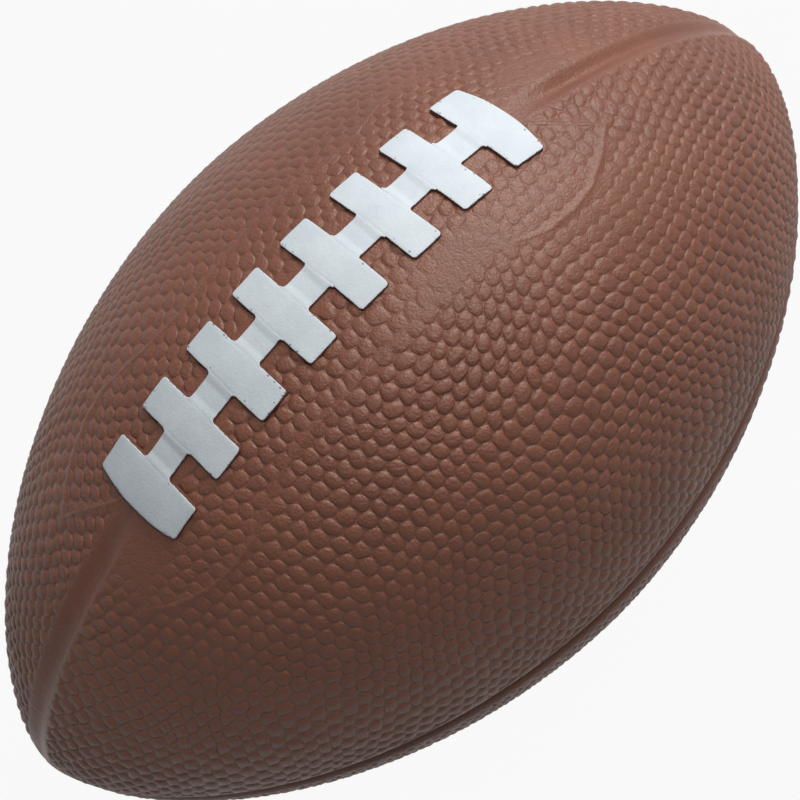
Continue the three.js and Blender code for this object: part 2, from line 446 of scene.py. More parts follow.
def column_shares(ball):
    """Spreads the columns of a panel, closest together beside its seams."""
    reach = math.pi * ball.diameter / 4
    place = np.linspace(0.0, reach, PROFILE_STEPS)
    from_seam = np.minimum(place, reach - place)
    step = SEAM_STEP + (OPEN_STEP - SEAM_STEP) * ease(from_seam / SEAM_STEP_REACH)
    count = np.concatenate([[0.0], np.cumsum(1 / step[1:])])
    wanted = np.linspace(0.0, count[-1], PANEL_COLUMNS + 1)
    return np.interp(wanted, count, place) / reach


def line_distance(along, across):
    """Signed distance from the raised line, below zero inside it."""
    px = np.abs(along)
    py = np.abs(across)
    best = np.full(px.shape, np.inf)
    signed = np.zeros(px.shape)
    for (ax, ay), (bx, by) in zip(RAISED_LINE[:-1], RAISED_LINE[1:]):
        dx = bx - ax
        dy = by - ay
        share = np.clip(((px - ax) * dx + (py - ay) * dy) / (dx * dx + dy * dy), 0.0, 1.0)
        away = np.hypot(px - ax - share * dx, py - ay - share * dy)
        side = np.sign(dx * (py - ay) - dy * (px - ax))
        nearer = away < best
        best = np.where(nearer, away, best)
        signed = np.where(nearer, -away * side, signed)
    return signed


def drift(first, second, reach, seed):
    """A smooth wandering value over the skin, from a few seeded waves."""
    draw = np.random.default_rng(seed)
    total = np.zeros(first.shape)
    for _ in range(WAVE_COUNT):
        heading = draw.uniform(0, 2 * math.pi)
        pitch = reach * draw.uniform(*WAVE_PITCHES)
        phase = draw.uniform(0, 2 * math.pi)
        run = first * math.cos(heading) + second * math.sin(heading)
        total += np.sin(2 * math.pi * run / pitch + phase)
    return total / WAVE_COUNT


def patch_share(along, across, middle_along, middle_across, half_length, half_width):
    """One in the middle of an oval patch, fading to zero outside it."""
    first = (along - middle_along) / half_length
    second = (across - middle_across) / half_width
    return np.exp(-(first**2) - second**2)


def half_row(lacing):
    """Half the distance between the middles of the first and the last bar."""
    return (lacing.bar_count - 1) / 2 * lacing.bar_pitch


# Mesh tools

def solid(name, points, faces, crease=None):
    """Makes a smooth closed mesh object; crease marks the points of its sharp edges."""
    mesh = bpy.data.meshes.new(name)
    mesh.from_pydata(points.tolist(), [], faces)
    mesh.shade_smooth()
    if crease is not None:
        ends = np.zeros(2 * len(mesh.edges), dtype=np.int32)
        mesh.edges.foreach_get("vertices", ends)
        sharp = crease[ends.reshape(-1, 2)].all(axis=1)
        marks = mesh.attributes.new("sharp_edge", "BOOLEAN", "EDGE")
        marks.data.foreach_set("value", sharp)
    mesh.update()
    piece = bpy.data.objects.new(name, mesh)
    bpy.context.scene.collection.objects.link(piece)
    return piece


def store(piece, name, values):
    """Keeps a number or a vector for each point of a piece."""
    values = np.ascontiguousarray(values, dtype=np.float32)
    if values.ndim == 1:
        piece.data.attributes.new(name, "FLOAT", "POINT").data.foreach_set("value", values)
    else:
        marks = piece.data.attributes.new(name, "FLOAT_VECTOR", "POINT")
        marks.data.foreach_set("vector", values.ravel())


def store_outer(piece, name, values, rest=0.0):
    """Keeps values for a panel's outer points, which come first, and a rest value inside."""
    padded = np.full((len(piece.data.vertices), *values.shape[1:]), rest)
    padded[: len(values)] = values
    store(piece, name, padded)


def join_points(piece):
    """Joins points that lie in one place."""
    work = bmesh.new()
    work.from_mesh(piece.data)
    bmesh.ops.remove_doubles(work, verts=work.verts, dist=WELD_DISTANCE)
    work.to_mesh(piece.data)
    work.free()


def grid_faces(index):
    """Four-sided faces of a grid of point numbers."""
    corners = [index[:-1, :-1], index[1:, :-1], index[1:, 1:], index[:-1, 1:]]
    return np.stack(corners, axis=-1).reshape(-1, 4).tolist()


def ring_faces(index):
    """Faces of a grid of point numbers whose rows close into rings."""
    return grid_faces(np.concatenate([index, index[:, :1]], axis=1))


def tube(name, grid):
    """Makes a closed mesh from rings of points, with a flat face at each end."""
    index = np.arange(grid[..., 0].size).reshape(grid.shape[:2])
    faces = ring_faces(index)
    faces.append(index[0].tolist())
    faces.append(index[-1, ::-1].tolist())
    return solid(name, grid.reshape(-1, 3), faces)


def edge_steps(edge):
    """Inset and rise of each step round an upper edge, from its side to its top."""
    steps = []
    for step in range(1, EDGE_STEPS + 1):
        bend = QUARTER_TURN * step / EDGE_STEPS
        steps.append((edge * (1 - math.cos(bend)), edge * math.sin(bend)))
    return steps


def finish_piece(piece, material, node_name):
    """Gives a piece its material and its place in the assembly."""
    piece.data.materials.clear()
    piece.data.materials.append(material)
    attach(piece, "root")
    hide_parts(node_name)


# Node tools

def add_node(tree, kind, values=None, **settings):
    """Adds a node with its settings and its plain input values."""
    made = tree.nodes.new(kind)
    for key, value in settings.items():
        setattr(made, key, value)
    for socket, value in (values or {}).items():
        made.inputs[socket].default_value = value
    return made


def feed(tree, value, socket):
    """Links an output to an input, or writes a plain value on the input."""
    if isinstance(value, bpy.types.NodeSocket):
        tree.links.new(value, socket)
    else:
        socket.default_value = value


def work_out(tree, operation, first, second=0.0, clamp=False):
    """A Math node over two values."""
    made = add_node(tree, "ShaderNodeMath", operation=operation, use_clamp=clamp)
    feed(tree, first, made.inputs[0])
    feed(tree, second, made.inputs[1])
    return made.outputs[0]


def times(tree, first, second):
    """The product of two values."""
    return work_out(tree, "MULTIPLY", first, second)


def vector_step(tree, operation, first, second=(0.0, 0.0, 0.0)):
    """A Vector Math node over two vectors."""
    made = add_node(tree, "ShaderNodeVectorMath", operation=operation)
    feed(tree, first, made.inputs[0])
    feed(tree, second, made.inputs[1])
    return made.outputs["Vector"]


def remap(tree, value, from_low, from_high, to_low=0.0, to_high=1.0, smooth=True):
    """A Map Range node, clamped."""
    kind = "SMOOTHSTEP" if smooth else "LINEAR"
    made = add_node(tree, "ShaderNodeMapRange", interpolation_type=kind)
    feed(tree, value, made.inputs["Value"])
    made.inputs["From Min"].default_value = from_low
    made.inputs["From Max"].default_value = from_high
    made.inputs["To Min"].default_value = to_low
    made.inputs["To Max"].default_value = to_high
    return made.outputs["Result"]


def mix_colours(tree, share, first, second):
    """A colour mix."""
    made = add_node(tree, "ShaderNodeMix", data_type="RGBA", clamp_factor=True)
    feed(tree, share, made.inputs[0])
    feed(tree, first, made.inputs[MIX_FIRST_COLOUR])
    feed(tree, second, made.inputs[MIX_SECOND_COLOUR])
    return made.outputs[MIX_RESULT_COLOUR]


def noise(tree, place, scale, values, **settings):
    """A Noise Texture node at a place and a scale."""
    made = add_node(tree, "ShaderNodeTexNoise", values, **settings)
    feed(tree, place, made.inputs["Vector"])
    feed(tree, scale, made.inputs["Scale"])
    return made


def point_value(tree, name):
    """Reads a number that is kept for each point of a piece."""
    return add_node(tree, "ShaderNodeAttribute", attribute_name=name).outputs["Fac"]


def object_place(tree):
    """Reads the place on the object."""
    return add_node(tree, "ShaderNodeTexCoord").outputs["Object"]


def opaque(rgb):
    """Adds full opacity to a colour."""
    return (rgb[0], rgb[1], rgb[2], 1.0)


def new_group(name, kind, inputs, outputs):
    """Makes an empty node group with named sockets."""
    tree = bpy.data.node_groups.new(name, kind)
    for title, socket, value in inputs:
        made = tree.interface.new_socket(name=title, in_out="INPUT", socket_type=socket)
        if value is not None:
            made.default_value = value
    for title, socket in outputs:
        tree.interface.new_socket(name=title, in_out="OUTPUT", socket_type=socket)
    return tree, add_node(tree, "NodeGroupInput"), add_node(tree, "NodeGroupOutput")


def place_group(tree, group, values):
    """Places a shared group in a material with its own values."""
    made = add_node(tree, "ShaderNodeGroup", node_tree=group)
    for socket, value in values.items():
        feed(tree, value, made.inputs[socket])
    return made


def new_material(name, values):
    """Makes a material with plain shader values, and returns it with its tree and shader."""
    material = bpy.data.materials.new(name)
    material.use_nodes = True
    tree = material.node_tree
    shader = tree.nodes["Principled BSDF"]
    for socket, value in values.items():
        shader.inputs[socket].default_value = value
    return material, tree, shader


def add_bump(tree, shader, height):
    """Bumps the shader by a height in millimetres."""
    bump = add_node(tree, "ShaderNodeBump", {"Strength": 1.0, "Distance": MM})
    feed(tree, height, bump.inputs["Height"])
    feed(tree, bump.outputs["Normal"], shader.inputs["Normal"])


# Shared effects

def foam_grain_group():
    """Fine moulded grain, shared by skin, lacing and core."""
    if "foam_grain" in bpy.data.node_groups:
        return bpy.data.node_groups["foam_grain"]
    tree, given, result = new_group(
        "foam_grain",
        "ShaderNodeTree",
        [("Scale", "NodeSocketFloat", 2500.0), ("Coarse Share", "NodeSocketFloat", 0.4)],
        [("Height", "NodeSocketFloat")],
    )
    coarse_scale = 0.3
    place = object_place(tree)
    scale = given.outputs["Scale"]
    fine = noise(tree, place, scale, {"Detail": 2.0, "Roughness": 0.6})
    coarse = noise(tree, place, times(tree, scale, coarse_scale), {"Detail": 1.0})
    coarse_part = times(tree, coarse.outputs[0], given.outputs["Coarse Share"])
    feed(tree, work_out(tree, "ADD", fine.outputs[0], coarse_part), result.inputs["Height"])
    return tree


def blotch_group():
    """Slow wandering between two colours, shared by skin, lacing and core."""
    if "colour_blotches" in bpy.data.node_groups:
        return bpy.data.node_groups["colour_blotches"]
    tree, given, result = new_group(
        "colour_blotches",
        "ShaderNodeTree",
        [
            ("First", "NodeSocketColor", None),
            ("Second", "NodeSocketColor", None),
            ("Scale", "NodeSocketFloat", 40.0),
        ],
        [("Colour", "NodeSocketColor")],
    )
    mix_band = (0.35, 0.65)
    patches = noise(tree, object_place(tree), given.outputs["Scale"], {"Detail": 4.0, "Roughness": 0.65})
    share = remap(tree, patches.outputs[0], *mix_band)
    mixed = mix_colours(tree, share, given.outputs["First"], given.outputs["Second"])
    feed(tree, mixed, result.inputs["Colour"])
    return tree


def pebble_reach(tree, place, disorder):
    """Distance from the nearest pebble's middle, from 0 to 1 at its foot.

    Pebbles stand in staggered rows: two plain grids, the second moved by half a step.
    """
    sway_scale = 0.7
    sway = noise(tree, place, sway_scale, {"Detail": 1.0}, noise_dimensions="2D")
    stray = vector_step(tree, "SUBTRACT", sway.outputs["Color"], (0.5, 0.5, 0.5))
    stray = vector_step(tree, "MULTIPLY", stray, (disorder, disorder, 0.0))
    swayed = vector_step(tree, "ADD", place, stray)
    step = (1.0, 2 * ROW_STEP, 1.0)
    half = (0.5, ROW_STEP, 0.5)
    found = []
    for shift in ((0.0, 0.0, 0.0), (0.5, ROW_STEP, 0.0)):
        local = vector_step(tree, "SUBTRACT", swayed, shift)
        middle = vector_step(tree, "SNAP", vector_step(tree, "ADD", local, half), step)
        away = vector_step(tree, "ABSOLUTE", vector_step(tree, "SUBTRACT", local, middle))
        parts = add_node(tree, "ShaderNodeSeparateXYZ")
        feed(tree, away, parts.inputs[0])
        along = work_out(tree, "POWER", parts.outputs["X"], PEBBLE_SQUARENESS)
        across = work_out(tree, "POWER", parts.outputs["Y"], PEBBLE_SQUARENESS)
        found.append(work_out(tree, "ADD", along, across))
    nearest = work_out(tree, "MINIMUM", found[0], found[1])
    nearest = work_out(tree, "POWER", nearest, 1 / PEBBLE_SQUARENESS)
    return work_out(tree, "DIVIDE", nearest, PEBBLE_FOOT, clamp=True)


def pebble_rise(tree, reach, rounding):
    """Height of a pebble from 0 at its foot to 1 at its top."""
    return work_out(tree, "SUBTRACT", 1.0, work_out(tree, "POWER", reach, rounding))


# Materials

def skin_material(ball, finish):
    """Brown pebbled foam skin with painted shade at the pebbles' feet and in the side grooves, which are
    also duller.
    """
    material, tree, shader = new_material("brown_pebbled_skin", {
        "Roughness": 0.45,
        "Specular IOR Level": 0.45,
        "Specular Tint": (1.0, 0.95, 0.88, 1.0),
        "Sheen Weight": 0.03,
        "Sheen Roughness": 0.4,
    })
    # Shares of painted shade: how far the base colour darkens at the pebbles' feet and in the side
    # grooves
    painted_foot_shade = 0.04
    painted_groove_shade = 0.95
    groove_dullness = 0.3
    grain_band = (0.5, 1.2)
    roughness_band = (0.4, 0.5)
    grain_depth = 0.18
    rib_band = (0.1, 0.6)
    rib_height = 0.09

    place = add_node(tree, "ShaderNodeAttribute", attribute_name="pebble_place").outputs["Vector"]
    amount = point_value(tree, "pebble_amount")
    reach = pebble_reach(tree, place, ball.pebble_disorder)
    sharp = pebble_rise(tree, reach, BUMP_ROUNDING)
    soft = pebble_rise(tree, reach, MESH_ROUNDING)

    browns = place_group(tree, blotch_group(), {
        "First": opaque(finish.skin),
        "Second": opaque(finish.skin_deep),
        "Scale": 60.0,
    })
    shade_and_bare_brown = opaque(finish.shade_and_bare_brown)
    # Painted shade: the base colour darkens towards the darker brown at each pebble's foot and in the
    # side grooves
    foot = times(tree, work_out(tree, "SUBTRACT", 1.0, sharp), amount)
    brown = mix_colours(tree, times(tree, foot, painted_foot_shade), browns.outputs["Colour"], shade_and_bare_brown)
    hollow = point_value(tree, "side_groove")
    brown = mix_colours(tree, times(tree, hollow, painted_groove_shade), brown, shade_and_bare_brown)
    feed(tree, brown, shader.inputs["Base Color"])

    grain = place_group(tree, foam_grain_group(), {"Scale": 1900.0, "Coarse Share": 0.6})
    rough = remap(tree, grain.outputs["Height"], *grain_band, *roughness_band, smooth=False)
    dull = work_out(tree, "ADD", rough, times(tree, hollow, groove_dullness))
    feed(tree, dull, shader.inputs["Roughness"])

    fuller = times(tree, work_out(tree, "SUBTRACT", sharp, soft), amount)
    fuller = times(tree, fuller, ball.pebble_height / MM)
    grained = times(tree, grain.outputs["Height"], grain_depth)
    from_line = work_out(tree, "ABSOLUTE", point_value(tree, "from_line"))
    rib = remap(tree, from_line, *rib_band, rib_height, 0.0)
    rib = times(tree, rib, point_value(tree, "line_share"))
    relief = work_out(tree, "ADD", fuller, grained)
    add_bump(tree, shader, work_out(tree, "ADD", relief, rib))
    return material


def lacing_material(finish):
    """White coat over brown foam, with ragged edges, and pinholes at the bars' edges; the uncoated foam
    and the pinholes take a darker brown that is bare foam with painted shade.
    """
    if "white_lacing_coat" in bpy.data.materials:
        return bpy.data.materials["white_lacing_coat"]
    material, tree, shader = new_material("white_lacing_coat", {
        "Roughness": 0.6,
        "Specular IOR Level": 0.4,
    })
    ragged_scale = 1300.0
    ragged_reach = 0.5
    coat_band = (0.12, 0.2)
    pit_chance = 0.3
    pit_band = (0.25, 0.4)
    pit_bare_and_shade = 0.5
    pit_depth = 0.12
    grain_depth = 0.05

    place = object_place(tree)
    ragged = noise(tree, place, ragged_scale, {"Detail": 3.0})
    stray = times(tree, work_out(tree, "SUBTRACT", ragged.outputs[0], 0.5), ragged_reach)
    coat = work_out(tree, "ADD", point_value(tree, "coat_height"), stray)
    covered = remap(tree, coat, *coat_band)

    holes = add_node(tree, "ShaderNodeTexVoronoi", {"Scale": 1500.0}, feature="F1")
    feed(tree, place, holes.inputs["Vector"])
    chance = add_node(tree, "ShaderNodeSeparateColor")
    feed(tree, holes.outputs["Color"], chance.inputs[0])
    likely = times(tree, point_value(tree, "pit_share"), pit_chance)
    limit = work_out(tree, "SUBTRACT", 1.0, likely)
    chosen = work_out(tree, "GREATER_THAN", chance.outputs[0], limit)
    pit = times(tree, remap(tree, holes.outputs["Distance"], *pit_band, 1.0, 0.0), chosen)

    whites = place_group(tree, blotch_group(), {
        "First": opaque(finish.lacing),
        "Second": opaque(finish.lacing_worn),
        "Scale": 120.0,
    })
    # Uncoated foam and pinholes take the darker brown: bare foam with painted shade
    bare_foam_and_shade = opaque(finish.shade_and_bare_brown)
    pitted = mix_colours(tree, times(tree, pit, pit_bare_and_shade), whites.outputs["Colour"], bare_foam_and_shade)
    feed(tree, mix_colours(tree, covered, bare_foam_and_shade, pitted), shader.inputs["Base Color"])

    grain = place_group(tree, foam_grain_group(), {"Scale": 3200.0, "Coarse Share": 0.6})
    grained = times(tree, grain.outputs["Height"], grain_depth)
    add_bump(tree, shader, work_out(tree, "ADD", grained, times(tree, pit, -pit_depth)))
    return material


def core_material(finish):
    """Pale open foam inside the ball."""
    material, tree, shader = new_material("pale_open_foam", {
        "Roughness": 0.85,
        "Specular IOR Level": 0.3,
    })
    grain_depth = 0.2
    foams = place_group(tree, blotch_group(), {
        "First": opaque(finish.foam),
        "Second": opaque(finish.foam_dark),
        "Scale": 400.0,
    })
    feed(tree, foams.outputs["Colour"], shader.inputs["Base Color"])
    grain = place_group(tree, foam_grain_group(), {"Scale": 1500.0, "Coarse Share": 1.0})
    add_bump(tree, shader, times(tree, grain.outputs["Height"], grain_depth))
    return material


# Skin panels

def pebble_relief_group(ball):
    """Geometry nodes that raise the pebbles of a panel."""
    if "pebble_relief" in bpy.data.node_groups:
        return bpy.data.node_groups["pebble_relief"]
    shape = "NodeSocketGeometry"
    tree, given, result = new_group(
        "pebble_relief",
        "GeometryNodeTree",
        [("Panel", shape, None)],
        [("Panel", shape)],
    )
    place = add_node(
        tree, "GeometryNodeInputNamedAttribute", {"Name": "pebble_place"}, data_type="FLOAT_VECTOR"
    )
    amount = add_node(
        tree, "GeometryNodeInputNamedAttribute", {"Name": "pebble_amount"}, data_type="FLOAT"
    )
    reach = pebble_reach(tree, place.outputs["Attribute"], ball.pebble_disorder)
    rise = work_out(tree, "SUBTRACT", pebble_rise(tree, reach, MESH_ROUNDING), PEBBLE_SINK)
    height = times(tree, rise, ball.pebble_height)
    lift = times(tree, height, amount.outputs["Attribute"])
    normal = add_node(tree, "GeometryNodeInputNormal")
    push = add_node(tree, "ShaderNodeVectorMath", operation="SCALE")
    feed(tree, normal.outputs[0], push.inputs[0])
    feed(tree, lift, push.inputs["Scale"])
    moved = add_node(tree, "GeometryNodeSetPosition")
    feed(tree, given.outputs[0], moved.inputs["Geometry"])
    feed(tree, push.outputs[0], moved.inputs["Offset"])
    feed(tree, moved.outputs[0], result.inputs[0])
    return tree


def apply_relief(piece, group):
    """Raises the pebbles and keeps the result as the piece's mesh."""
    relief = piece.modifiers.new("pebble_relief", "NODES")
    relief.node_group = group
    graph = bpy.context.evaluated_depsgraph_get()
    raised = bpy.data.meshes.new_from_object(
        piece.evaluated_get(graph), preserve_all_data_layers=True, depsgraph=graph
    )
    piece.modifiers.clear()
    plain = piece.data
    piece.data = raised
    bpy.data.meshes.remove(plain)
    raised.name = piece.name


def rest_on_floor(piece):
    """Presses the points that hang below the floor flat against it."""
    places = np.zeros(3 * len(piece.data.vertices), dtype=np.float32)
    piece.data.vertices.foreach_get("co", places)
    places = places.reshape(-1, 3)
    places[:, 2] = np.maximum(places[:, 2], CAD_LOW.z)
    piece.data.vertices.foreach_set("co", places.ravel())
    piece.data.update()


def panel_grid(name, ball, lacing):
    """Lays out a panel's rows along the ball and columns round it, with their distances."""
    start = PANEL_STARTS[name]
    grid = SimpleNamespace()
    rows, grid.along, grid.radius = ball_rows(ball, PANEL_ROWS)
    grid.radius[[0, -1]] = TIP_OPENING
    inset = ball.seam_gap / 2 / grid.radius
    spread = QUARTER_TURN - 2 * inset
    grid.turn = start + inset + spread * column_shares(ball)[None, :]
    grid.inner_turn = start + inset + spread * np.linspace(0.0, 1.0, INNER_COLUMNS + 1)[None, :]
    grid.rows = rows * np.ones_like(grid.turn)
    grid.from_start = grid.radius * (grid.turn - start)
    grid.from_end = grid.radius * (start + QUARTER_TURN - grid.turn)
    starts_at_side = round(start / QUARTER_TURN) % 2
    grid.from_side = grid.from_start if starts_at_side else grid.from_end
    grid.across = grid.from_start if name == UPPER_LEFT else -grid.from_end
    grid.from_lacing = grid.along - lacing.middle
    grid.past_end = np.abs(grid.from_lacing) - half_row(lacing) - lacing.bar_width / 2
    return grid


def groove_depth(name, ball, grid):
    """Depth of a panel's two half grooves; the one along the top starts past the lacing."""
    start_depth = groove_shape(ball, grid.radius, grid.from_start)
    end_depth = groove_shape(ball, grid.radius, grid.from_end)
    beyond = ease(grid.past_end / ball.groove_run_out)
    if name == UPPER_LEFT:
        start_depth = start_depth * beyond
    if name == UPPER_RIGHT:
        end_depth = end_depth * beyond
    return np.maximum(start_depth, end_depth)


def pebble_amounts(ball, grid, seed):
    """How tall pebbles stand over a panel, from 0 in its grooves and at the tips."""
    from_seam = np.minimum(grid.from_start, grid.from_end)
    amount = ease((from_seam - GROOVE_BARE * ball.groove_width) / GROOVE_FADE)
    amount = amount * ease((grid.radius - TIP_BARE) / TIP_FADE)
    swell = PEBBLE_SWELL * drift(grid.rows, grid.from_start, PEBBLE_SWELL_REACH, seed)
    return amount * (PEBBLE_LEVEL + swell)


def raised_line(name, grid, seed):
    """Distance from the raised line on an upper panel, and how clearly the line shows."""
    stray = LINE_STRAY * drift(grid.rows, grid.from_start, LINE_STRAY_REACH, seed)
    line = line_distance(grid.from_lacing + stray, grid.across + stray)
    shown = np.ones_like(line)
    if name == UPPER_LEFT:
        fade = ease((grid.along - LEFT_LINE_END) / LEFT_LINE_FADE)
        shown = shown * LEFT_LINE_SHARE * (1 - fade)
    for patch in SMOOTH_PATCHES[name]:
        shown = shown * (1 - patch_share(grid.along, grid.across, *patch)) ** 2
    return line, shown


def lacing_clearance(name, ball, lacing, grid, line):
    """Shares of their height that pebbles keep on an upper panel, round lacing and line."""
    past_end = np.maximum(grid.past_end, 0.0)
    past_bar = np.maximum(np.abs(grid.across) - lacing.spine_width / 2 - SPINE_BARE, 0.0)
    kept = ease((np.hypot(past_end, past_bar) - LACING_BARE) / LACING_FADE)
    band = np.exp(-((line / (LINE_CLEARING_WIDTH * ball.line_width)) ** 2))
    kept = kept * (1 - LINE_CLEARING * band)
    for share, *patch in RELIEF_SWELLS[name]:
        kept = kept * (1 + share * patch_share(grid.along, grid.across, *patch))
    for patch in SMOOTH_PATCHES[name]:
        kept = kept * (1 - patch_share(grid.along, grid.across, *patch))
    return kept


def pebble_places(ball, grid, seed):
    """Place of each outer point among the rows of pebbles, counted in pitches."""
    from_middle = grid.from_start - grid.radius * QUARTER_TURN / 2
    reach = ROW_WANDER_REACH
    wander_along = ROW_WANDER * drift(grid.rows, from_middle, reach, seed + WANDER_ALONG_SEED)
    wander_round = ROW_WANDER * drift(grid.rows, from_middle, reach, seed + WANDER_ROUND_SEED)
    shift = np.random.default_rng(seed + ROW_START_SEED).uniform(0, ROW_STARTS, 2)
    first = (grid.rows + wander_along) / ball.pebble_pitch + shift[0]
    second = (from_middle + wander_round) / ball.pebble_pitch + shift[1]
    return np.stack([first, second, np.zeros_like(first)], axis=-1).reshape(-1, 3)


def panel_shell(name, ball, grid, outer_radius):
    """Makes a panel's closed mesh, its outer points first, with creases round its rim."""
    outer = round_axis(grid.along, outer_radius, grid.turn)
    outer[..., 2] = np.maximum(outer[..., 2], CAD_LOW.z)
    shrink, shorten = inner_shares(ball, ball.skin_thickness)
    inner = round_axis(grid.along * shorten, grid.radius * shrink, grid.inner_turn)
    points = np.concatenate([outer.reshape(-1, 3), inner.reshape(-1, 3)])
    out = np.arange(grid.turn.size).reshape(grid.turn.shape)
    inn = np.arange(grid.inner_turn.size).reshape(grid.inner_turn.shape) + out.size
    faces = grid_faces(out) + grid_faces(inn[:, ::-1])
    faces += grid_faces(np.stack([inn[:, 0], out[:, 0]], axis=1))
    faces += grid_faces(np.stack([out[:, -1], inn[:, -1]], axis=1))
    faces.append(out[0].tolist() + inn[0, ::-1].tolist())
    faces.append(out[-1, ::-1].tolist() + inn[-1].tolist())
    rim = np.zeros(len(points), dtype=bool)
    for edge in (out[:, 0], out[:, -1], out[0], out[-1]):
        rim[edge] = True
    return solid(name, points, faces, rim)


def make_panel(name, ball, lacing, seed):
    """Makes one skin panel as a closed shell with grooved edges and pebbles."""
    grid = panel_grid(name, ball, lacing)
    amount = pebble_amounts(ball, grid, seed)
    line = np.full(grid.turn.shape, FAR_FROM_LINE)
    shown = np.zeros_like(line)
    if name in SMOOTH_PATCHES:
        line, shown = raised_line(name, grid, seed + LINE_SEED)
        amount = amount * lacing_clearance(name, ball, lacing, grid, line)
    rise = ball.line_height * shown * np.exp(-((2 * line / ball.line_width) ** 2))
    outer_radius = grid.radius - groove_depth(name, ball, grid) + rise
    piece = panel_shell(name + "_visual", ball, grid, outer_radius)
    side_groove = groove_shape(ball, grid.radius, grid.from_side) / ball.groove_depth
    store_outer(piece, "pebble_place", pebble_places(ball, grid, seed))
    store_outer(piece, "pebble_amount", amount.ravel())
    store_outer(piece, "from_line", line.ravel() / MM, rest=FAR_FROM_LINE / MM)
    store_outer(piece, "line_share", shown.ravel())
    store_outer(piece, "side_groove", side_groove.ravel())
    apply_relief(piece, pebble_relief_group(ball))
    rest_on_floor(piece)
    return piece


# Lacing

def ring_outline(half_along, half_across, corner):
    """Points round a rectangle with rounded corners, as along and across."""
    flat_along = half_along - corner
    flat_across = half_across - corner
    signs = ((1, 1), (-1, 1), (-1, -1), (1, -1))
    along = []
    across = []
    for number, (sign_along, sign_across) in enumerate(signs):
        begin = number * QUARTER_TURN
        for step in range(CORNER_STEPS + 1):
            bend = begin + QUARTER_TURN * step / CORNER_STEPS
            along.append(sign_along * flat_along + corner * math.cos(bend))
            across.append(sign_across * flat_across + corner * math.sin(bend))
        next_along, next_across = signs[(number + 1) % len(signs)]
        run_along = (next_along - sign_along) * flat_along
        run_across = (next_across - sign_across) * flat_across
        corner_end = (along[-1], across[-1])
        steps = BAR_SIDE_STEPS if number % 2 else BAR_END_STEPS
        for step in range(1, steps):
            along.append(corner_end[0] + run_along * step / steps)
            across.append(corner_end[1] + run_across * step / steps)
    return np.array(along), np.array(across)


def lacing_stray(lacing, along):
    """Sideways shift and lean of the lacing, which lies a little askew towards +X."""
    from_middle = along - lacing.middle
    sideways = lacing.side_shift * ease((from_middle - SHIFT_START) / SHIFT_RUN)
    lean = lacing.lean * ease((from_middle - LEAN_START) / LEAN_RUN)
    return sideways, lean


def make_bar(name, ball, lacing, middle, outward, seed):
    """Makes one lacing bar with rounded edges, sunk a little into the skin."""
    half_along = lacing.bar_width / 2
    half_across = lacing.bar_length / 2
    edge = lacing.bar_edge
    top = lacing.bar_height
    shoulder = top - edge
    sideways, lean = lacing_stray(lacing, middle)
    levels = [(-FOOT_SPREAD, -FOOT_DEPTH), (-SKIRT_SPREAD, BAR_SKIRT), (0.0, shoulder)]
    levels += [(inset, shoulder + rise) for inset, rise in edge_steps(edge)]
    levels += [(edge + (half_along - edge) * share, top) for share in BAR_TOP_SHARES]
    rings = []
    coats = []
    pits = []
    for inset, height in levels:
        corner = max(lacing.bar_corner - inset, 0.0)
        along, across = ring_outline(half_along - inset, half_across - inset, corner)
        share_across = 1 - (across / half_across) ** 2
        crown = lacing.bar_crown * share_across * (1 - CROWN_FALL * (along / half_along) ** 2)
        waver = BAR_WAVER * drift(along, across, BAR_WAVER_REACH, seed)
        waver = waver * min(1.0, (half_along - inset) / half_along)
        reach = np.clip(outward * along / half_along, 0.0, 1.0)
        bulge = outward * lacing.end_bulge * reach * np.maximum(share_across, 0.0)
        askew = lean * across / lacing.bar_length
        place = middle + along + bulge + waver - askew
        lift = height + crown * (height > top / 2)
        rings.append(on_ball(ball, place, across + waver + sideways, lift))
        coats.append(np.full(len(along), (height - shoulder + max(inset, 0.0)) / MM))
        beside_spine = ease((np.abs(across) - lacing.spine_width / 2) / PIT_START)
        pits.append(beside_spine * (1 - ease((inset - edge) / PIT_REACH)))
    points = np.concatenate(rings)
    index = np.arange(len(points)).reshape(len(rings), -1)
    faces = ring_faces(index[::-1])
    faces.append(index[0, ::-1].tolist())
    piece = solid(name, points, faces)
    store(piece, "coat_height", np.concatenate(coats))
    store(piece, "pit_share", np.concatenate(pits))
    join_points(piece)
    return piece


def make_spine(name, ball, lacing):
    """Makes the strip that joins the bars, widened at each and dipped between them."""
    end = half_row(lacing)
    pitch = lacing.bar_pitch
    along = np.linspace(-end, end, SPINE_ROWS)
    from_bar = np.abs((along + end + pitch / 2) % pitch - pitch / 2) - lacing.bar_width / 2
    corner = lacing.inner_corner
    near = np.clip(corner - from_bar, 0.0, corner)
    half = lacing.spine_width / 2 + corner - np.sqrt(corner**2 - near**2)
    edge = lacing.bar_edge
    under = ease(-from_bar / edge - UNDER_BAR_START) * UNDER_BAR_DROP * lacing.bar_height
    dip = lacing.spine_dip * ease(from_bar / lacing.spine_ramp)
    top = lacing.bar_height + lacing.bar_crown / 2 - dip - under
    sideways, _ = lacing_stray(lacing, lacing.middle + along)

    level = np.zeros_like(along)
    side = [(-FOOT_SPREAD, level - FOOT_DEPTH, BARE_COAT)]
    side.append((-SKIRT_SPREAD, level + SPINE_SKIRT, BARE_COAT))
    side.append((0.0, top - edge, 0.0))
    side += [(inset, top - edge + rise, (inset + rise) / MM) for inset, rise in edge_steps(edge)]
    section = [(inset - half, lift, coat) for inset, lift, coat in side]
    section += [(share * half, top, FULL_COAT) for share in SPINE_TOP_SHARES]
    section += [(half - inset, lift, coat) for inset, lift, coat in reversed(side)]

    place = lacing.middle + along
    lines = [on_ball(ball, place, across + sideways, lift) for across, lift, _ in section]
    piece = tube(name, np.stack(lines, axis=1))
    store(piece, "coat_height", np.tile([coat for _, _, coat in section], len(along)))
    return piece


# Foam core

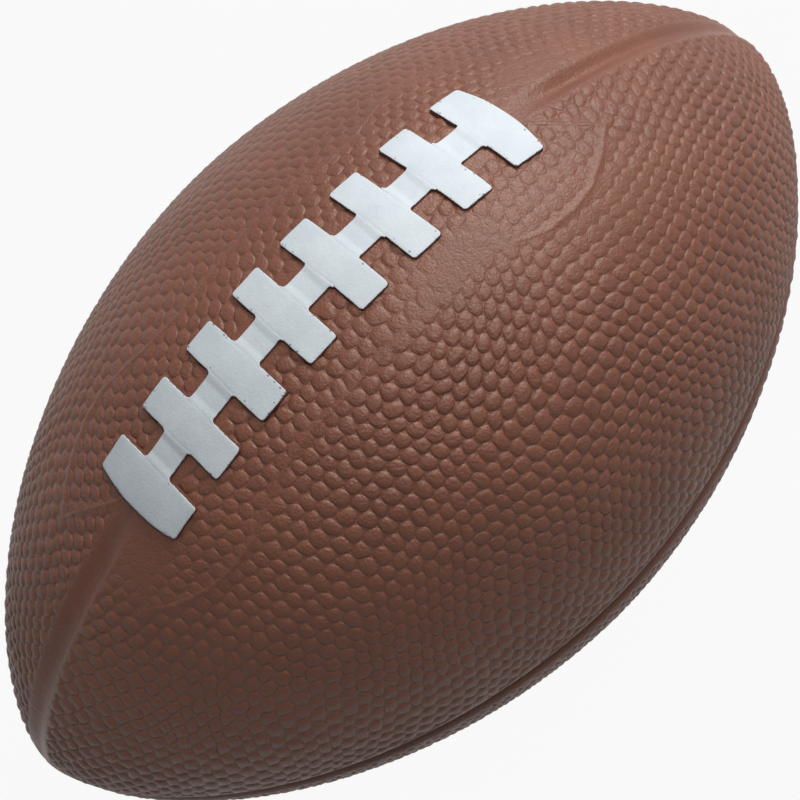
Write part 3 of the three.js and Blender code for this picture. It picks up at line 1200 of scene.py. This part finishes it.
def make_core(name, ball):
    """Makes the foam core, a slightly uneven copy of the ball's form."""
    rows, along, radius = ball_rows(ball, CORE_ROWS)
    turn = np.linspace(0, 2 * math.pi, CORE_COLUMNS, endpoint=False)[None, :]
    shrink, shorten = inner_shares(ball, ball.skin_thickness + CORE_GAP)
    bumps = drift(rows + 0 * turn, radius * np.sin(turn), CORE_UNEVEN_REACH, CORE_SEED)
    uneven = CORE_UNEVEN * (bumps - 1) * np.minimum(radius / CORE_FADE_RADIUS, 1.0)
    return tube(name, round_axis(along * shorten, radius * shrink + uneven, turn))


class FOOTBALL_OT_core(bpy.types.Operator):
    """Makes the foam core"""

    bl_idname = "football.make_core"
    bl_label = "Foam Core"

    def execute(self, context):
        scene = context.scene
        piece = make_core("foam_core_visual", scene.football_ball)
        finish_piece(piece, core_material(scene.football_finish), "foam_core")
        return {"FINISHED"}


class FOOTBALL_OT_panels(bpy.types.Operator):
    """Makes the four skin panels"""

    bl_idname = "football.make_panels"
    bl_label = "Skin Panels"

    def execute(self, context):
        scene = context.scene
        ball = scene.football_ball
        material = skin_material(ball, scene.football_finish)
        for number, name in enumerate(PANEL_STARTS):
            seed = PANEL_SEED + PANEL_SEED_STEP * number
            piece = make_panel(name, ball, scene.football_lacing, seed)
            finish_piece(piece, material, name)
        return {"FINISHED"}


class FOOTBALL_OT_spine(bpy.types.Operator):
    """Makes the strip that joins the lacing bars"""

    bl_idname = "football.make_spine"
    bl_label = "Lacing Spine"

    def execute(self, context):
        scene = context.scene
        piece = make_spine("lace_spine_visual", scene.football_ball, scene.football_lacing)
        finish_piece(piece, lacing_material(scene.football_finish), "lace_spine")
        return {"FINISHED"}


class FOOTBALL_OT_bars(bpy.types.Operator):
    """Makes the lacing bars"""

    bl_idname = "football.make_bars"
    bl_label = "Lacing Bars"

    def execute(self, context):
        scene = context.scene
        ball = scene.football_ball
        lacing = scene.football_lacing
        material = lacing_material(scene.football_finish)
        for number in range(lacing.bar_count):
            name = f"lace_bar_{number + 1}"
            middle = lacing.middle - half_row(lacing) + number * lacing.bar_pitch
            outward = {0: -1, lacing.bar_count - 1: 1}.get(number, 0)
            piece = make_bar(name + "_visual", ball, lacing, middle, outward, BAR_SEED + number)
            finish_piece(piece, material, name)
        return {"FINISHED"}


# Stage

def seen_directly(tree):
    """One for camera, glossy and transmission rays, otherwise zero."""
    path = add_node(tree, "ShaderNodeLightPath")
    shine = work_out(
        tree, "ADD", path.outputs["Is Glossy Ray"], path.outputs["Is Transmission Ray"], clamp=True
    )
    return work_out(tree, "ADD", path.outputs["Is Camera Ray"], shine, clamp=True)


def blend_shaders(tree, share, first, second, surface):
    """Mixes two shaders by a share and feeds them to an output node's surface."""
    blend = add_node(tree, "ShaderNodeMixShader")
    feed(tree, share, blend.inputs[0])
    feed(tree, first.outputs[0], blend.inputs[1])
    feed(tree, second.outputs[0], blend.inputs[2])
    feed(tree, blend.outputs[0], surface)


def floor_material():
    """Pale floor that shows white and keeps the ball's shadow."""
    material, tree, shader = new_material("pale_floor", {
        "Base Color": FLOOR_GREY,
        "Roughness": 0.9,
        "Specular IOR Level": 0.1,
    })
    glow = add_node(tree, "ShaderNodeEmission", {"Color": PURE_WHITE, "Strength": 1.0})
    share = times(tree, seen_directly(tree), FLOOR_WHITE_SHARE)
    blend_shaders(tree, share, shader, glow, tree.nodes["Material Output"].inputs["Surface"])
    return material


def make_floor(scene):
    """Makes the floor that the ball lies on."""
    mesh = bpy.data.meshes.new("floor")
    half = FLOOR_HALF
    corners = [(-half, -half, 0), (half, -half, 0), (half, half, 0), (-half, half, 0)]
    mesh.from_pydata(corners, [], [(0, 1, 2, 3)])
    mesh.materials.append(floor_material())
    floor = bpy.data.objects.new("floor", mesh)
    scene.collection.objects.link(floor)


def light_world(scene, ambient):
    """White surroundings that light the ball softly."""
    world = bpy.data.worlds.new("white_studio")
    world.use_nodes = True
    tree = world.node_tree
    soft = tree.nodes["Background"]
    soft.inputs["Color"].default_value = PURE_WHITE
    soft.inputs["Strength"].default_value = ambient
    white = add_node(tree, "ShaderNodeBackground", {"Color": STUDIO_WHITE})
    surface = tree.nodes["World Output"].inputs["Surface"]
    blend_shaders(tree, seen_directly(tree), soft, white, surface)
    scene.world = world


def add_lamp(scene, name, power, size, toward, reach, centre):
    """Adds a square soft lamp that faces the ball."""
    lamp = bpy.data.lights.new(name, "AREA")
    lamp.energy = power
    lamp.size = size
    holder = bpy.data.objects.new(name, lamp)
    direction = Vector(toward).normalized()
    holder.location = centre + direction * reach
    holder.rotation_euler = direction.to_track_quat("Z", "Y").to_euler()
    scene.collection.objects.link(holder)


def place_camera(scene, stage, centre):
    """Adds the camera, rolled about its view, and makes it the scene's own."""
    flat = math.cos(stage.elevation)
    toward = Vector((
        flat * math.cos(stage.azimuth),
        flat * math.sin(stage.azimuth),
        math.sin(stage.elevation),
    ))
    eye = centre + toward * stage.distance
    ahead = (centre + Vector(AIM_OFFSET) - eye).normalized()
    level = ahead.cross(Vector((0, 0, 1))).normalized()
    rise = level.cross(ahead)
    right = level * math.cos(stage.roll) + rise * math.sin(stage.roll)
    up = rise * math.cos(stage.roll) - level * math.sin(stage.roll)
    lens = bpy.data.cameras.new("camera")
    lens.lens = stage.lens
    lens.sensor_fit = "HORIZONTAL"
    lens.clip_start = NEAREST_SIGHT
    camera = bpy.data.objects.new("camera", lens)
    turned = Matrix((right, up, -ahead)).transposed().to_4x4()
    camera.matrix_world = Matrix.Translation(eye) @ turned
    scene.collection.objects.link(camera)
    scene.camera = camera


class FOOTBALL_OT_stage(bpy.types.Operator):
    """Makes the floor, the light and the camera"""

    bl_idname = "football.make_stage"
    bl_label = "Stage"

    def execute(self, context):
        scene = context.scene
        stage = scene.football_stage
        centre = Vector((0.0, 0.0, CENTRE_HEIGHT))
        make_floor(scene)
        light_world(scene, stage.ambient)
        add_lamp(scene, "key_lamp", stage.key_power, *KEY_LAMP, centre)
        add_lamp(scene, "top_lamp", stage.top_power, *TOP_LAMP, centre)
        place_camera(scene, stage, centre)
        scene.view_settings.view_transform = "Standard"
        return {"FINISHED"}


class FOOTBALL_PT_sidebar(bpy.types.Panel):
    """Lists the steps that build the football"""

    bl_idname = "FOOTBALL_PT_sidebar"
    bl_label = "Foam Football"
    bl_space_type = "VIEW_3D"
    bl_region_type = "UI"
    bl_category = "Football"

    def draw(self, context):
        for name in GROUPS:
            group = getattr(context.scene, name)
            box = self.layout.box()
            for key in group.__annotations__:
                box.prop(group, key)
        for operator in OPERATORS:
            self.layout.operator(operator.bl_idname)


OPERATORS = (
    FOOTBALL_OT_core,
    FOOTBALL_OT_panels,
    FOOTBALL_OT_spine,
    FOOTBALL_OT_bars,
    FOOTBALL_OT_stage,
)
GROUPS = {
    "football_ball": BallSizes,
    "football_lacing": LacingSizes,
    "football_finish": FinishColours,
    "football_stage": StageSettings,
}


def register():
    """Registers the classes and hangs their settings on the scene."""
    for kind in (*GROUPS.values(), *OPERATORS, FOOTBALL_PT_sidebar):
        bpy.utils.register_class(kind)
    for name, kind in GROUPS.items():
        setattr(bpy.types.Scene, name, PointerProperty(type=kind))


def unregister():
    """Takes the settings and classes away again."""
    for name in GROUPS:
        delattr(bpy.types.Scene, name)
    for kind in (FOOTBALL_PT_sidebar, *reversed(OPERATORS), *reversed(GROUPS.values())):
        bpy.utils.unregister_class(kind)


def main():
    """Builds the football and the stage."""
    register()
    bpy.ops.football.make_core()
    bpy.ops.football.make_panels()
    bpy.ops.football.make_spine()
    bpy.ops.football.make_bars()
    bpy.ops.football.make_stage()


if __name__ == "__main__":
    main()
